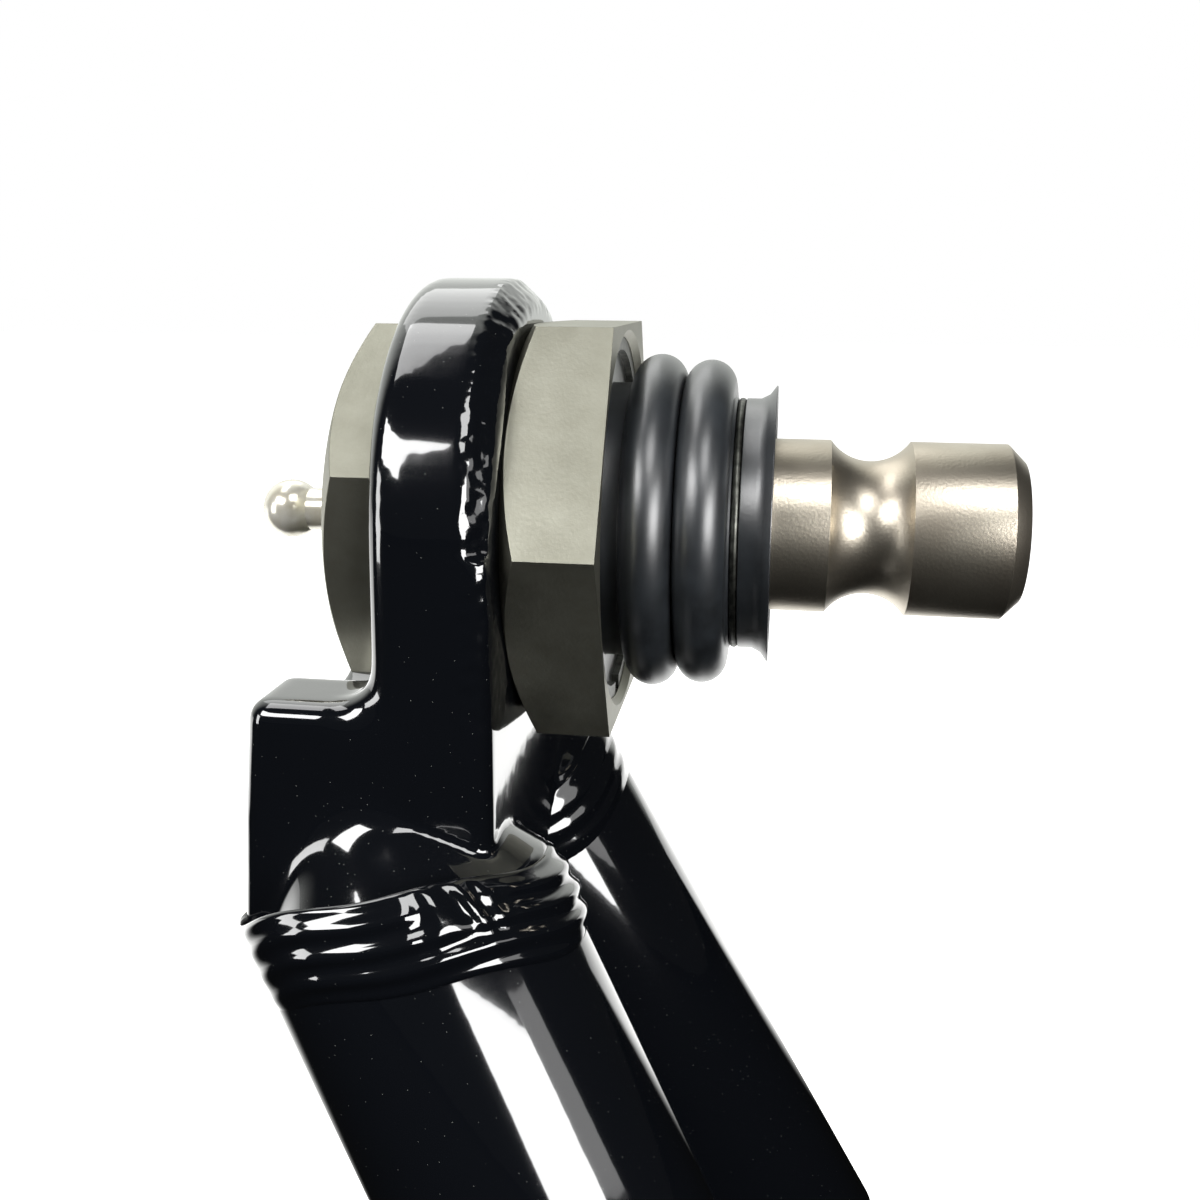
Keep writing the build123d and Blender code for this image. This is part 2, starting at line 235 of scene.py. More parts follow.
for group, rounds in (
    (film_group, paint_softening),
    (hollow, flare_softening),
    (round_edge, edge_softening),
):
    soften = arm_end.modifiers.new("soften_" + group.name, "SMOOTH")
    soften.vertex_group = group.name
    soften.iterations = rounds
apply_modifiers(arm_end)

# The turned bevel at the joint's side of the eye is rough under its paint.
rough_bevel = arm_end.vertex_groups.new(name="rough_bevel")
on_bevel = [
    v.index
    for v in arm_end.data.vertices
    if v.co.x > (eye_x[1] - bevel_width) * mm
    and hypot(v.co.y, v.co.z) > bevel_inner_r * mm
    and v.co.z > bevel_bottom * mm
]
rough_bevel.add(on_bevel, 1.0, "REPLACE")
pits = bpy.data.textures.new("pits", "CLOUDS")
pits.noise_scale = pit_size * mm
pits.noise_depth = 2
pitted = arm_end.modifiers.new("pitted", "DISPLACE")
pitted.texture = pits
pitted.texture_coords = "LOCAL"
pitted.vertex_group = "rough_bevel"
pitted.strength = pit_depth * mm
pitted.mid_level = 0.6
apply_modifiers(arm_end)
arm_end.vertex_groups.clear()
arm_end.data.materials.append(gloss_black)
smooth_by_angle(arm_end, 60)
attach(arm_end, "arm")
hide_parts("arm_end")

# ---- Arm tubes ----
# Two round steel tubes, mitred against the feet and cut off level where this part of the
# arm ends. They carry the same powder coat.
for node in ("front_tube", "rear_tube"):
    tube = copy_of_node(node, node + "_painted")
    cut_edge = tube.modifiers.new("cut_edge", "BEVEL")
    cut_edge.limit_method = "ANGLE"
    cut_edge.angle_limit = radians(40)
    cut_edge.width = 0.4 * mm
    cut_edge.segments = 3
    apply_modifiers(tube)
    tube.data.materials.append(gloss_black)
    smooth_by_angle(tube, 35)
    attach(tube, "arm")
    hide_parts(node)

# ---- Welds ----
# A hand-laid bead joins each tube to its foot. It froze in overlapping ripples that lie
# across the seam, and the powder coat flows over them.
seam_height = -38.7
seam_slope = 15.6
weld_half_height = 4.7
weld_proud = 1.3
weld_sunk = 0.25
flat_share = 0.25
open_angles = (100.0, 150.0)
fold_depth = 0.24
fold_pitch = 2.5
knuckle_depth = 0.28
knuckle_pitch = 3.1
knuckle_middle = 50.0
knuckle_half = 20.0


def seam_place(side, angle):
    """A point of the seam at an angle round the tube, with the outward and downward ways."""
    top, down = tube_axis(side)
    slope = tan(radians(seam_slope))
    face = Vector((-slope, side * slope, 1)).normalized()
    origin = Vector((tube_x, -side * tube_y, seam_height))
    across = down.cross(Vector((0, 1, 0))).normalized()
    other = down.cross(across).normalized() * side
    out = across * cos(angle) + other * sin(angle)
    rim = top + out * tube_r
    return rim + down * ((origin - rim).dot(face) / down.dot(face)), out, down


# The bead starts as a plain ring. Each point of its section is then moved to its place on
# the seam, where long folds run along it. Short knuckles cross its upper part at the outer
# corner on the stud's side, and on the cap's side it lies nearly flat. Sines of odd
# lengths, in millimetres along the seam, keep the ripples uneven.
for side, node, bead_relief in ((1, "front_weld", 1.0), (-1, "rear_weld", 0.25)):
    bpy.ops.object.select_all(action="DESELECT")
    bpy.ops.mesh.primitive_torus_add(
        major_segments=360, minor_segments=72, major_radius=2, minor_radius=1
    )
    weld = bpy.context.object
    weld.name = weld.data.name = node + "_bead"
    for v in weld.data.vertices:
        angle = atan2(v.co.y, v.co.x)
        level = v.co.z
        height = hypot(v.co.x, v.co.y) - 2
        centre, out, down = seam_place(side, angle)
        run = angle * tube_r
        drift = 1.3 * sin(run / 8.5) + 0.7 * sin(run / 3.7)
        fold = cos(2 * pi * weld_half_height * level / fold_pitch + drift)
        near_corner = clamp(1 - ((degrees(angle) - knuckle_middle) / knuckle_half) ** 2)
        corner = near_corner * clamp(0.6 - 1.4 * level)
        stray = 1.5 * sin(run / 1.7 + 2.3 * level) + 0.9 * sin(run / 0.9)
        knuckle = cos(2 * pi * run / knuckle_pitch + stray) * corner * bead_relief
        wander = 0.55 * sin(run / 6.3 + side) + 0.3 * sin(run / 2.7)
        past_side = (open_angles[1] - abs(degrees(angle))) / (open_angles[1] - open_angles[0])
        open_side = clamp(past_side) * bead_relief
        swell = fold_depth * fold * (1 - corner) * open_side + knuckle_depth * knuckle
        proud = weld_proud * (flat_share + (1 - flat_share) * open_side)
        outward = proud * height + max(0.0, height) * swell - weld_sunk
        v.co = (centre + down * (level * weld_half_height + wander) + out * outward) * mm
    bpy.ops.object.mode_set(mode="EDIT")
    bpy.ops.mesh.select_all(action="SELECT")
    bpy.ops.mesh.normals_make_consistent(inside=False)
    bpy.ops.object.mode_set(mode="OBJECT")
    weld.data.materials.append(gloss_black)
    smooth_by_angle(weld, 80)
    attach(weld, "arm")
    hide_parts(node)

# ---- Housing ----
# A hexagonal steel head with a round barrel that sits in the eye. It is milled from bar
# and phosphated dull, and spanners have brightened its corners.
hex_across = 41.0
hex_x = (1.6, 11.1)
barrel_r = 18.5
barrel_end = -10.2
barrel_chamfer = 0.3
cavity_r = 15.0
seat_shoulder = 6.6
mouth_r = (10.6, 12.2)
pocket_r = 19.2
pocket_floor = 8.5
pocket_bevel = 0.7
flange_top = 9.5
ring_top = 10.3
groove_r = 19.5
corner_chamfer = 30.0
chamfer_inset = 0.3
outside_share = 0.62
overcut = 0.2


def turned(name, outline, facets=144):
    """Turns (x, radius) steps about the stud's axis, from a circle extruded step by step.

    An outline that starts and ends near the axis gets flat faces there. One that comes back
    to its start is a closed ring.
    """
    bpy.ops.object.select_all(action="DESELECT")
    x, r = outline[0]
    bpy.ops.mesh.primitive_circle_add(
        vertices=facets, radius=r * mm, location=(x * mm, 0, 0), rotation=(0, pi / 2, 0)
    )
    piece = bpy.context.object
    piece.name = piece.data.name = name
    bpy.ops.object.mode_set(mode="EDIT")
    for (x, r), (next_x, next_r) in zip(outline, outline[1:]):
        step = ((next_x - x) * mm, 0, 0)
        growth = next_r / r
        centre = (next_x * mm, 0, 0)
        bpy.ops.mesh.extrude_region_move(TRANSFORM_OT_translate={"value": step})
        bpy.ops.transform.resize(value=(1, growth, growth), center_override=centre)
    bpy.ops.mesh.select_all(action="SELECT")
    bpy.ops.mesh.remove_doubles(threshold=1e-6)
    bpy.ops.mesh.fill_holes(sides=0)
    bpy.ops.mesh.normals_make_consistent(inside=False)
    bpy.ops.object.mode_set(mode="OBJECT")
    bpy.ops.object.transform_apply(location=True, rotation=True, scale=True)
    return piece


def cut_with(piece, tool, operation):
    """Cuts or keeps what a second solid covers, and removes that solid."""
    cut = piece.modifiers.new("cut", "BOOLEAN")
    cut.operation = operation
    cut.object = tool
    cut.solver = "EXACT"
    apply_modifiers(piece)
    bpy.data.objects.remove(tool)


def join_to(piece, other):
    """Makes a second mesh part of a piece."""
    select_only(piece, other)
    bpy.ops.object.join()


def hexagon(name, x, across, turn):
    """A hexagonal head between two places on the axis, turned about it by an angle in degrees.

    Its corners are cut back at the first of the two places.
    """
    bpy.ops.object.select_all(action="DESELECT")
    bpy.ops.mesh.primitive_cylinder_add(
        vertices=6,
        radius=across / 2 / cos(radians(30)) * mm,
        depth=(x[1] - x[0]) * mm,
        location=((x[0] + x[1]) / 2 * mm, 0, 0),
    )
    head = bpy.context.object
    head.name = head.data.name = name
    head.rotation_euler = (0, pi / 2, 0)
    bpy.ops.object.transform_apply(location=True, rotation=True, scale=True)
    # The primitive's own corner is found first, so that the turn is counted from the Y axis.
    corner = Vector(max((v.co for v in head.data.vertices), key=lambda c: c.y))
    found = Vector((0, 0, 1)).angle(Vector((0, corner.y, corner.z)))
    head.data.transform(Matrix.Rotation(found - pi / 2 - radians(turn), 4, "X"))
    flat_r = across / 2 - chamfer_inset
    wide = across * outside_share
    rise = (wide - flat_r) * tan(radians(corner_chamfer))
    start, far = x[0], x[1] + 1
    steps = [(start, 0.5), (start, flat_r), (start + rise, wide), (far, wide), (far, 0.5)]
    cut_with(head, turned("envelope", steps, 180), "INTERSECT")
    return head


def break_edges(piece, width, angle=25, segments=2, edge_finish=0):
    """Rounds the edges sharper than an angle, and gives them the finish of a material slot."""
    broken = piece.modifiers.new("broken_edges", "BEVEL")
    broken.limit_method = "ANGLE"
    broken.angle_limit = radians(angle)
    broken.width = width * mm
    broken.segments = segments
    broken.material = edge_finish
    apply_modifiers(piece)


# Blasted steel with a thin phosphate film: olive grey, with a fine even grain. The grain is
# drawn several times its real size, so that it shows.
grain_size = 0.35
blotch_size = 6.0
dull_steel, shader = new_finish("phosphated_steel", "#98978b", Metallic=1.0, Roughness=0.44)
place = add_node(dull_steel, "ShaderNodeTexCoord")
grain = add_node(
    dull_steel,
    "ShaderNodeTexNoise",
    {"Scale": 1 / (grain_size * mm), "Detail": 3.0},
    {"Vector": place.outputs["Object"]},
)
blotch = add_node(
    dull_steel,
    "ShaderNodeTexNoise",
    {"Scale": 1 / (blotch_size * mm), "Detail": 4.0, "Roughness": 0.6},
    {"Vector": place.outputs["Object"]},
)
steel_colour = add_node(
    dull_steel,
    "ShaderNodeValToRGB",
    {},
    {"Fac": blotch.outputs["Fac"]},
    [(0.3, "#8f8e81"), (0.7, "#a09f92")],
)
grain_bump = add_node(
    dull_steel,
    "ShaderNodeBump",
    {"Strength": 0.35, "Distance": 0.05 * mm},
    {"Height": grain.outputs["Fac"]},
)
dull_steel.node_tree.links.new(steel_colour.outputs["Color"], shader.inputs["Base Color"])
dull_steel.node_tree.links.new(grain_bump.outputs["Normal"], shader.inputs["Normal"])

# Where spanners and handling have rubbed the film off, the steel is bright and scuffed.
scuff_size = 1.2
worn_steel, shader = new_finish("rubbed_bright_steel", "#d4d3ca", Metallic=1.0, Roughness=0.34)
place = add_node(worn_steel, "ShaderNodeTexCoord")
scuffs = add_node(
    worn_steel,
    "ShaderNodeTexNoise",
    {"Scale": 1 / (scuff_size * mm), "Detail": 5.0, "Roughness": 0.7},
    {"Vector": place.outputs["Object"]},
)
worn_colour = add_node(
    worn_steel,
    "ShaderNodeValToRGB",
    {},
    {"Fac": scuffs.outputs["Fac"]},
    [(0.38, "#97978c"), (0.55, "#dddcd3")],
)
worn_steel.node_tree.links.new(worn_colour.outputs["Color"], shader.inputs["Base Color"])

housing = hexagon("housing_head", hex_x, hex_across, 0)
bore = turned(
    "bore",
    [
        (0.5, 1.0),
        (0.5, cavity_r),
        (seat_shoulder, cavity_r),
        (seat_shoulder, mouth_r[0]),
        (pocket_floor, mouth_r[1]),
        (pocket_floor, pocket_r),
        (flange_top, pocket_r),
        (flange_top, groove_r),
        (ring_top, groove_r),
        (ring_top, pocket_r),
        (hex_x[1] - pocket_bevel, pocket_r),
        (hex_x[1] + overcut, pocket_r + pocket_bevel + overcut),
        (hex_x[1] + overcut, 1.0),
    ],
)
cut_with(housing, bore, "DIFFERENCE")
break_edges(housing, 0.45, edge_finish=1)
barrel = turned(
    "barrel",
    [
        (eye_x[1], cavity_r),
        (eye_x[1], barrel_r),
        (barrel_end + barrel_chamfer, barrel_r),
        (barrel_end, barrel_r - barrel_chamfer),
        (barrel_end, cavity_r),
        (eye_x[1], cavity_r),
    ],
)
housing.data.materials.append(dull_steel)
housing.data.materials.append(worn_steel)
barrel.data.materials.append(dull_steel)
join_to(housing, barrel)
smooth_by_angle(housing, 9)
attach(housing, "arm")
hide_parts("housing")

# ---- Seats ----
# Two sintered bronze rings, ground spherical inside. They lie in the housing's bore, and
# the ball turns between them.
pore_size = 0.4


def refinish(node, material):
    """Gives a node's own mesh its finish."""
    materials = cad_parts[node].data.materials
    materials.clear()
    materials.append(material)


# Sintered bronze: a soft brown metal, dotted with darker pores. The pores are drawn several
# times their real size, so that they show.
bronze, shader = new_finish("sintered_bronze", "#a8824e", Metallic=1.0, Roughness=0.45)
place = add_node(bronze, "ShaderNodeTexCoord")
pores = add_node(
    bronze,
    "ShaderNodeTexVoronoi",
    {"Scale": 1 / (pore_size * mm)},
    {"Vector": place.outputs["Object"]},
)
bronze_colour = add_node(
    bronze,
    "ShaderNodeValToRGB",
    {},
    {"Fac": pores.outputs["Distance"]},
    [(0.1, "#6d522e"), (0.35, "#b08a55")],
)
bronze.node_tree.links.new(bronze_colour.outputs["Color"], shader.inputs["Base Color"])
for node in ("lower_seat", "upper_seat"):
    refinish(node, bronze)

# ---- Ball stud ----
# Ball, neck and shank are turned from one steel bar and bead blasted to a warm satin. The
# round groove across the shank takes the pinch bolt that holds it in its knuckle.
ball_r = 12.0
neck_r = 6.5
shank_r = 9.0
groove_x = 36.4
bolt_r = 5.0
groove_depth = 2.1
groove_open = 54.5
neck_end = 13.5
shoulder_x = 18.5
stud_tip = 51.8
tip_chamfer = 1.7


def arc(centre, radius, start, end, steps):
    """Points of an arc in (x, radius), from one angle in degrees to another."""
    angles = [radians(start + (end - start) * i / steps) for i in range(steps + 1)]
    return [(centre[0] + radius * cos(a), centre[1] + radius * sin(a)) for a in angles]


groove_centre = (groove_x, shank_r - groove_depth + bolt_r)
groove_half = sqrt(bolt_r**2 - (groove_centre[1] - shank_r) ** 2)
stud_outline = (
    arc((0, 0), ball_r, 175, 33, 44)
    + [(neck_end, neck_r), (shoulder_x, shank_r), (groove_x - groove_half, shank_r)]
    + arc(groove_centre, bolt_r, 270 - groove_open, 270 + groove_open, 20)
    + [(groove_x + groove_half, shank_r), (stud_tip - tip_chamfer, shank_r)]
    + [(stud_tip, shank_r - tip_chamfer), (stud_tip, 1.0)]
)
ball_stud = turned("ball_stud_blasted", stud_outline, 160)
break_edges(ball_stud, 0.35, 22, 3)

# Bead blasted steel: a warm satin with soft clouds. The dimples are drawn several times
# their real size, so that they show.
dimple_size = 0.3
cloud_size = 7.0
blasted, shader = new_finish("bead_blasted_nickel_steel", "#c9c0b0", Metallic=1.0, Roughness=0.36)
place = add_node(blasted, "ShaderNodeTexCoord")
dimples = add_node(
    blasted,
    "ShaderNodeTexNoise",
    {"Scale": 1 / (dimple_size * mm), "Detail": 2.0},
    {"Vector": place.outputs["Object"]},
)
cloudy = add_node(
    blasted,
    "ShaderNodeTexNoise",
    {"Scale": 1 / (cloud_size * mm), "Detail": 3.0},
    {"Vector": place.outputs["Object"]},
)
blasted_colour = add_node(
    blasted,
    "ShaderNodeValToRGB",
    {},
    {"Fac": cloudy.outputs["Fac"]},
    [(0.3, "#c0b6a6"), (0.7, "#d4ccbc")],
)
blasted_bump = add_node(
    blasted,
    "ShaderNodeBump",
    {"Strength": 0.45, "Distance": 0.04 * mm},
    {"Height": dimples.outputs["Fac"]},
)
blasted.node_tree.links.new(blasted_colour.outputs["Color"], shader.inputs["Base Color"])
blasted.node_tree.links.new(blasted_bump.outputs["Normal"], shader.inputs["Normal"])
ball_stud.data.materials.append(blasted)
smooth_by_angle(ball_stud, 30)
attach(ball_stud, "stud")
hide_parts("ball_stud")

# ---- Preload shim, disc spring and O-ring ----
# A hardened shim and a dished spring steel disc press the upper seat on the ball. A rubber
# O-ring seals the cap.
temper_size = 3.0

# Tempered spring steel: smooth, with a faint blue heat tint in patches.
blued, shader = new_finish("tempered_spring_steel", "#6f7478", Metallic=1.0, Roughness=0.3)
place = add_node(blued, "ShaderNodeTexCoord")
temper = add_node(
    blued,
    "ShaderNodeTexNoise",
    {"Scale": 1 / (temper_size * mm), "Detail": 3.0},
    {"Vector": place.outputs["Object"]},
)
temper_colour = add_node(
    blued,
    "ShaderNodeValToRGB",
    {},
    {"Fac": temper.outputs["Fac"]},
    [(0.35, "#565c66"), (0.65, "#85888a")],
)
blued.node_tree.links.new(temper_colour.outputs["Color"], shader.inputs["Base Color"])
for node in ("preload_shim", "disc_spring", "nipple_spring"):
    refinish(node, blued)

# Moulded chloroprene rubber: satin black with a bluish sheen and a faint bloom. The skin's
# grain is drawn coarser than it is, so that it shows.
bloom_size = 4.0
skin_size = 0.4
rubber, shader = new_finish(
    "moulded_rubber",
    "#1d2023",
    Roughness=0.37,
    IOR=1.52,
    Specular_IOR_Level=1.0,
    Coat_Weight=0.7,
    Coat_Roughness=0.34,
)
place = add_node(rubber, "ShaderNodeTexCoord")
bloom = add_node(
    rubber,
    "ShaderNodeTexNoise",
    {"Scale": 1 / (bloom_size * mm), "Detail": 5.0, "Roughness": 0.6},
    {"Vector": place.outputs["Object"]},
)
rubber_colour = add_node(
    rubber,
    "ShaderNodeValToRGB",
    {},
    {"Fac": bloom.outputs["Fac"]},
    [(0.35, "#181b1e"), (0.7, "#2a2e32")],
)
skin = add_node(
    rubber,
    "ShaderNodeTexNoise",
    {"Scale": 1 / (skin_size * mm), "Detail": 2.0},
    {"Vector": place.outputs["Object"]},
)
skin_bump = add_node(
    rubber,
    "ShaderNodeBump",
    {"Strength": 0.3, "Distance": 0.03 * mm},
    {"Height": skin.outputs["Fac"]},
)
rubber.node_tree.links.new(rubber_colour.outputs["Color"], shader.inputs["Base Color"])
rubber.node_tree.links.new(skin_bump.outputs["Normal"], shader.inputs["Normal"])
refinish("cap_o_ring", rubber)

# ---- End cap ----
# A phosphated steel cap screws into the barrel and closes the joint. Its head is a smaller
# hexagon than the housing's, with the corners cut back on the outside.
cap_x = (-16.5, -10.4)
cap_across = 36.0
cap_turn = 18.6
cap_wall = 3.4
nipple_bore_r = 3.03
spigot_r = (12.22, 14.97)
spigot_end = -5.5
o_ring_seat_r = 13.4
o_ring_seat_end = -8.8
end_cap = hexagon("end_cap_head", cap_x, cap_across, cap_turn)
pocket_x = cap_x[0] + cap_wall
hollow_cap = turned(
    "hollow_cap",
    [
        (cap_x[0] - 1, nipple_bore_r),
        (pocket_x, nipple_bore_r),
        (pocket_x, spigot_r[0]),
        (cap_x[1] + 0.4, spigot_r[0]),
    ],
)
cut_with(end_cap, hollow_cap, "DIFFERENCE")
break_edges(end_cap, 0.4, edge_finish=1)
end_cap.data.materials.append(dull_steel)
end_cap.data.materials.append(worn_steel)
sleeve = turned(
    "spigot",
    [
        (cap_x[1], spigot_r[0]),
        (cap_x[1], o_ring_seat_r),
        (o_ring_seat_end, o_ring_seat_r),
        (o_ring_seat_end, spigot_r[1]),
        (spigot_end, spigot_r[1]),
        (spigot_end, spigot_r[0]),
        (cap_x[1], spigot_r[0]),
    ],
)
sleeve.data.materials.append(dull_steel)
join_to(end_cap, sleeve)
smooth_by_angle(end_cap, 9)
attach(end_cap, "arm")
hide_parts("end_cap")

# ---- Grease nipple ----
# A small plated steel nipple screws into the cap. A spring holds its check ball against
# the mouth until a grease gun pushes it in.
nipple_hex = 8.0
nipple_hex_x = -18.3
nipple_hex_depth = 3.6
nipple_hex_end = -20.1
head_r = 3.2
head_x = -26.2
tip_x = -29.0
mouth_x = -27.9
neck_x = -23.97
nipple_neck_r = 2.3
nipple_thread_r = 3.0
nipple_end = -13.1
passage_r = (0.75, 1.25)
passage_x = (-27.4, -13.9)

# Bright zinc plate: a pale mirror, slightly clouded by tarnish.
tarnish_size = 1.5
bright_plate, shader = new_finish("bright_zinc_plate", "#f1ecdb", Metallic=0.5, Roughness=0.2)
place = add_node(bright_plate, "ShaderNodeTexCoord")
tarnish = add_node(
    bright_plate,
    "ShaderNodeTexNoise",
    {"Scale": 1 / (tarnish_size * mm), "Detail": 3.0},
    {"Vector": place.outputs["Object"]},
)
plate_colour = add_node(
    bright_plate,
    "ShaderNodeValToRGB",
    {},
    {"Fac": tarnish.outputs["Fac"]},
    [(0.35, "#e6e0cd"), (0.65, "#f6f3e8")],
)
bright_plate.node_tree.links.new(plate_colour.outputs["Color"], shader.inputs["Base Color"])
bpy.ops.object.select_all(action="DESELECT")
bpy.ops.mesh.primitive_cylinder_add(
    vertices=6,
    radius=nipple_hex / 2 / cos(radians(30)) * mm,
    depth=nipple_hex_depth * mm,
    location=(nipple_hex_x * mm, 0, 0),
    rotation=(0, pi / 2, 0),
)
nipple = bpy.context.object
nipple.name = nipple.data.name = "nipple_plated"
bpy.ops.object.transform_apply(location=True, rotation=True, scale=True)
crown = turned(
    "crown",
    [(-16.0, 0.5), (-16.0, 5.2), (-19.2, 5.2), (nipple_hex_end, 3.9), (-20.3, 0.5)],
    96,
)
cut_with(nipple, crown, "INTERSECT")
break_edges(nipple, 0.15)
head = turned(
    "nipple_head",
    [(mouth_x, passage_r[0]), (tip_x, passage_r[0]), (tip_x, 1.35)]
    + arc((head_x, 0), head_r, 151, 46, 16)
    + [
        (neck_x + 0.6, nipple_neck_r),
        (-21.0, nipple_neck_r),
        (nipple_hex_end, 2.7),
        (cap_x[0], 2.7),
        (cap_x[0], nipple_thread_r),
        (nipple_end, nipple_thread_r),
        (nipple_end, passage_r[0]),
        (passage_x[1], passage_r[0]),
        (passage_x[1], passage_r[1]),
        (passage_x[0], passage_r[1]),
        (mouth_x, passage_r[0]),
    ],
    64,
)
nipple.data.materials.append(bright_plate)
head.data.materials.append(bright_plate)
join_to(nipple, head)
smooth_by_angle(nipple, 35)
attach(nipple, "arm")
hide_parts("nipple_body")
refinish("check_ball", bright_plate)

# ---- Boot ----
# A moulded rubber bellows with two rolls keeps dirt out. Its flange sits in the housing's
# pocket, and its collar grips the shank and ends in a thin flared lip. It is shown as two
# pieces that meet in the valley.
roll_r = 2.6
rolls = ((14.6, 17.5), (19.8, 17.0))
valley = (17.2, 14.55)
boot_wall = 1.3
valley_wall = 0.9
flange_r = (12.8, 19.05)
shoulder_r = 14.5
collar_r = 13.1
collar_bore_r = 9.1
neck_ring_x = 23.1
neck_ring_half = 0.43
neck_ring_depth = 0.8
collar_end = 25.0
lip = (26.7, 14.5)
swing_span = (11.2, 17.2)
collar_span = (17.2, 22.4)
first_centre = (rolls[0][0], rolls[0][1] - roll_r)
second_centre = (rolls[1][0], rolls[1][1] - roll_r)
inner_r = roll_r - boot_wall
first_roll = turned(
    "boot_first_roll",
    [(pocket_floor, flange_r[0]), (pocket_floor, flange_r[1]), (flange_top, flange_r[1])]
    + [(flange_top, shoulder_r), (first_centre[0] - roll_r, shoulder_r)]
    + arc(first_centre, roll_r, 178, 6, 26)
    + [(valley[0], valley[1] + 0.1), (valley[0], valley[1] - valley_wall)]
    + arc(first_centre, inner_r, 0, 180, 16)
    + [(flange_top, flange_r[0]), (pocket_floor, flange_r[0])],
)
second_roll = turned(
    "boot_second_roll",
    [(valley[0], valley[1] - valley_wall), (valley[0], valley[1] + 0.1)]
    + arc(second_centre, roll_r, 174, 0, 26)
    + [
        (second_centre[0] + roll_r, collar_r + 0.15),
        (neck_ring_x - neck_ring_half, collar_r),
        (neck_ring_x - neck_ring_half, collar_r - neck_ring_depth),
        (neck_ring_x + neck_ring_half, collar_r - neck_ring_depth),
        (neck_ring_x + neck_ring_half, collar_r),
        (collar_end, collar_r),
        (25.9, collar_r + 0.45),
        (lip[0] - 0.1, lip[1]),
        (lip[0], lip[1] - 0.1),
        (lip[0], lip[1] - 0.8),
        (25.6, 12.2),
        (25.2, collar_bore_r),
        (second_centre[0] + roll_r, collar_bore_r),
    ]
    + arc(second_centre, inner_r, 0, 180, 16)
    + [(valley[0], valley[1] - valley_wall)],
)
for piece, bodies, ends in (
    (first_roll, ("arm", "boot_swing"), swing_span),
    (second_roll, ("boot_swing", "boot_collar"), collar_span),
):
    break_edges(piece, 0.12, 40, 2)
    piece.data.materials.append(rubber)
    smooth_by_angle(piece, 50)
    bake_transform(piece)
    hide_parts("boot")

# ---- Boot rings ----
# A split ring of spring steel snaps into the housing over the boot's flange, and a wire
# ring closes the collar on the shank.
mottle_size = 0.8

# Blackened spring steel: a dark grey metal, slightly mottled.
dark_ring, shader = new_finish("blackened_spring_ring", "#5f605b", Metallic=1.0, Roughness=0.4)
place = add_node(dark_ring, "ShaderNodeTexCoord")
drawn = add_node(
    dark_ring,
    "ShaderNodeTexNoise",
    {"Scale": 1 / (mottle_size * mm), "Detail": 3.0},
    {"Vector": place.outputs["Object"]},
)
ring_colour = add_node(
    dark_ring,
    "ShaderNodeValToRGB",
    {},
    {"Fac": drawn.outputs["Fac"]},
    [(0.35, "#4c4d49"), (0.65, "#72736d")],
)
dark_ring.node_tree.links.new(ring_colour.outputs["Color"], shader.inputs["Base Color"])
for node in ("boot_split_ring", "boot_neck_ring"):
    refinish(node, dark_ring)

# ---- Floor, lamps and camera ----
# A pale floor and a white surround. Mirrors show them white behind the part and dim on the
# camera's side and to the right, so that the gloss paint stays black between the lamps.
cut_height = -106.0
floor_gap = 0.2
floor_glow = 0.85
dim_slope = 1.35
floor_fade = (0.0, 0.06)
world_fade = (-0.05, 0.45)
world_dim = 0.012
focal_pixels = 1308.301
picture_pixels = 1200
camera_place = (27.799, -137.329, 24.533)
bpy.ops.object.select_all(action="DESELECT")
bpy.ops.mesh.primitive_plane_add(size=6, location=(0, 0, (cut_height - floor_gap) * mm))
floor = bpy.context.object
floor.name = "floor"
pale_floor = bpy.data.materials.new("pale_floor")
pale_floor.use_nodes = True
pale_floor.node_tree.nodes.clear()
rays = add_node(pale_floor, "ShaderNodeLightPath")
lit = add_node(pale_floor, "ShaderNodeBsdfDiffuse", {"Color": linear("#f2f2f0")})
glow = add_node(
    pale_floor, "ShaderNodeEmission", {"Color": linear("#ffffff"), "Strength": floor_glow}
)
seen = add_node(pale_floor, "ShaderNodeAddShader", {}, {0: lit.outputs[0], 1: glow.outputs[0]})
dim = add_node(pale_floor, "ShaderNodeBsdfDiffuse", {"Color": linear("#0a0a09")})
spot = add_node(pale_floor, "ShaderNodeTexCoord")
along = add_node(pale_floor, "ShaderNodeSeparateXYZ", {}, {0: spot.outputs["Object"]})
to_right = add_node(
    pale_floor, "ShaderNodeMath", {"operation": "MAXIMUM", 1: 0.0}, {0: along.outputs["X"]}
)
less_right = add_node(
    pale_floor,
    "ShaderNodeMath",
    {"operation": "MULTIPLY_ADD", 1: -dim_slope},
    {0: to_right.outputs[0], 2: along.outputs["Y"]},
)
far_side = add_node(
    pale_floor,
    "ShaderNodeMapRange",
    {
        "From Min": floor_fade[0],
        "From Max": floor_fade[1],
        "interpolation_type": "SMOOTHSTEP",
    },
    {"Value": less_right.outputs[0]},
)
mirrored = add_node(
    pale_floor,
    "ShaderNodeMath",
    {"operation": "MULTIPLY"},
    {0: rays.outputs["Is Glossy Ray"], 1: far_side.outputs["Result"]},
)
shown = add_node(
    pale_floor,
    "ShaderNodeMath",
    {"operation": "MAXIMUM"},
    {0: rays.outputs["Is Camera Ray"], 1: mirrored.outputs[0]},
)
either = add_node(
    pale_floor,
    "ShaderNodeMixShader",
    {},
    {0: shown.outputs[0], 1: dim.outputs[0], 2: seen.outputs[0]},
)
add_node(pale_floor, "ShaderNodeOutputMaterial", {}, {"Surface": either.outputs[0]})
floor.data.materials.append(pale_floor)

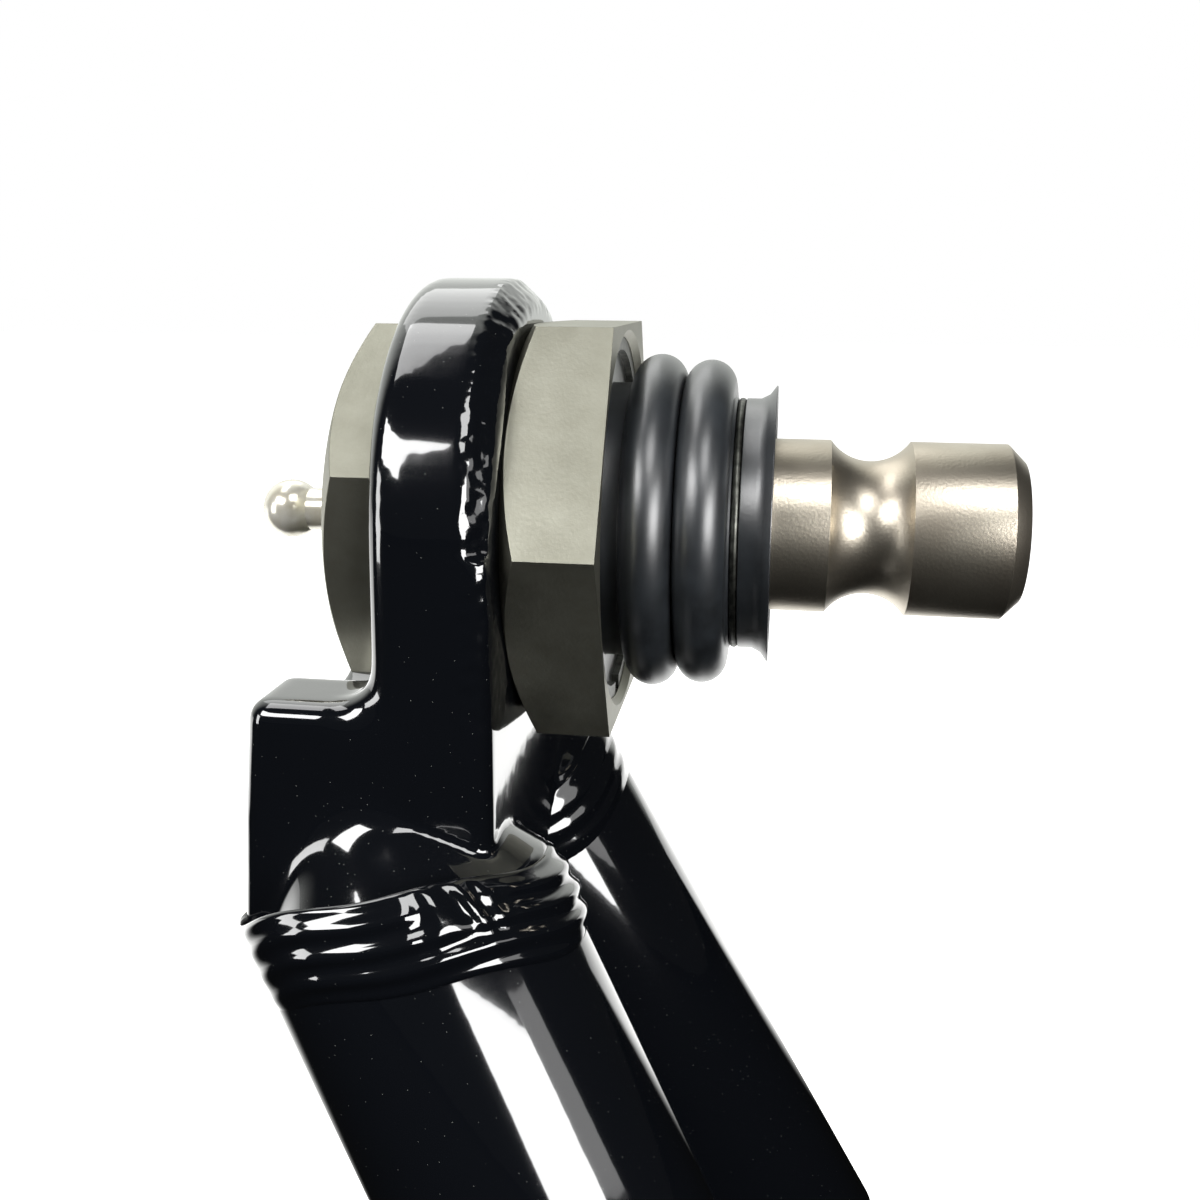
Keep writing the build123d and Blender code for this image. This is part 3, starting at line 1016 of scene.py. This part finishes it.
world = bpy.data.worlds.new("studio")
bpy.context.scene.world = world
world.use_nodes = True
world.node_tree.nodes.clear()
rays = add_node(world, "ShaderNodeLightPath")
way = add_node(world, "ShaderNodeTexCoord")
parts = add_node(world, "ShaderNodeSeparateXYZ", {}, {0: way.outputs["Generated"]})
to_right = add_node(
    world, "ShaderNodeMath", {"operation": "MAXIMUM", 1: 0.0}, {0: parts.outputs["X"]}
)
less_right = add_node(
    world,
    "ShaderNodeMath",
    {"operation": "MULTIPLY_ADD", 1: -dim_slope},
    {0: to_right.outputs[0], 2: parts.outputs["Y"]},
)
behind = add_node(
    world,
    "ShaderNodeMapRange",
    {
        "From Min": world_fade[0],
        "From Max": world_fade[1],
        "To Min": world_dim,
        "To Max": 1.0,
        "interpolation_type": "SMOOTHSTEP",
    },
    {"Value": less_right.outputs[0]},
)
surround = add_node(
    world,
    "ShaderNodeBackground",
    {"Color": linear("#f4f7f2")},
    {"Strength": behind.outputs["Result"]},
)
white = add_node(world, "ShaderNodeBackground", {"Color": linear("#ffffff"), "Strength": 1.0})
chosen = add_node(
    world,
    "ShaderNodeMixShader",
    {},
    {0: rays.outputs["Is Camera Ray"], 1: surround.outputs[0], 2: white.outputs[0]},
)
add_node(world, "ShaderNodeOutputWorld", {}, {"Surface": chosen.outputs[0]})


def softbox(name, azimuth, elevation, distance, size, radiance):
    """An area lamp placed by its direction in degrees, and facing the joint.

    Its distance and its (width, height) are in metres.
    """
    lamp = bpy.data.lights.new(name, "AREA")
    lamp.shape = "RECTANGLE"
    lamp.size, lamp.size_y = size
    lamp.energy = radiance * pi * size[0] * size[1]
    holder = bpy.data.objects.new(name, lamp)
    bpy.context.scene.collection.objects.link(holder)
    a, e = radians(azimuth), radians(elevation)
    way = Vector((sin(a) * cos(e), -cos(a) * cos(e), sin(e)))
    holder.location = way * distance
    holder.rotation_euler = way.to_track_quat("Z", "Y").to_euler()


softbox("side_window", 45, 9, 1.0, (0.61, 0.4), 11)
softbox("side_window_edge", 70, 14, 1.0, (0.27, 0.3), 1.6)
softbox("front_window", -40, 33, 1.0, (0.6, 0.32), 11)
softbox("left_window", -62, 3, 0.5, (0.13, 0.24), 6)
softbox("front_panel", 24, 52, 1.0, (0.45, 0.45), 6)
softbox("overhead", -100, 67, 1.0, (0.56, 0.3), 3.4)
softbox("back_overhead", -155, 48, 1.0, (0.7, 0.5), 1.2)

# The camera's own place and aim.
azimuth, elevation, roll = radians(8.072), radians(13.598), radians(0.512)
right = Vector((cos(azimuth), sin(azimuth), 0))
forward = Vector((-sin(azimuth) * cos(elevation), cos(azimuth) * cos(elevation), -sin(elevation)))
up = right.cross(forward)
level_right = right * cos(roll) + up * sin(roll)
level_up = up * cos(roll) - right * sin(roll)
view = bpy.data.cameras.new("camera")
view.sensor_width = 36
view.lens = focal_pixels * view.sensor_width / picture_pixels
view.clip_start = 0.005
camera = bpy.data.objects.new("camera", view)
bpy.context.scene.collection.objects.link(camera)
camera.matrix_world = Matrix.Translation(Vector(camera_place) * mm) @ Matrix(
    (level_right, level_up, -forward)
).transposed().to_4x4()
bpy.context.scene.camera = camera
bpy.context.scene.view_settings.view_transform = "Standard"
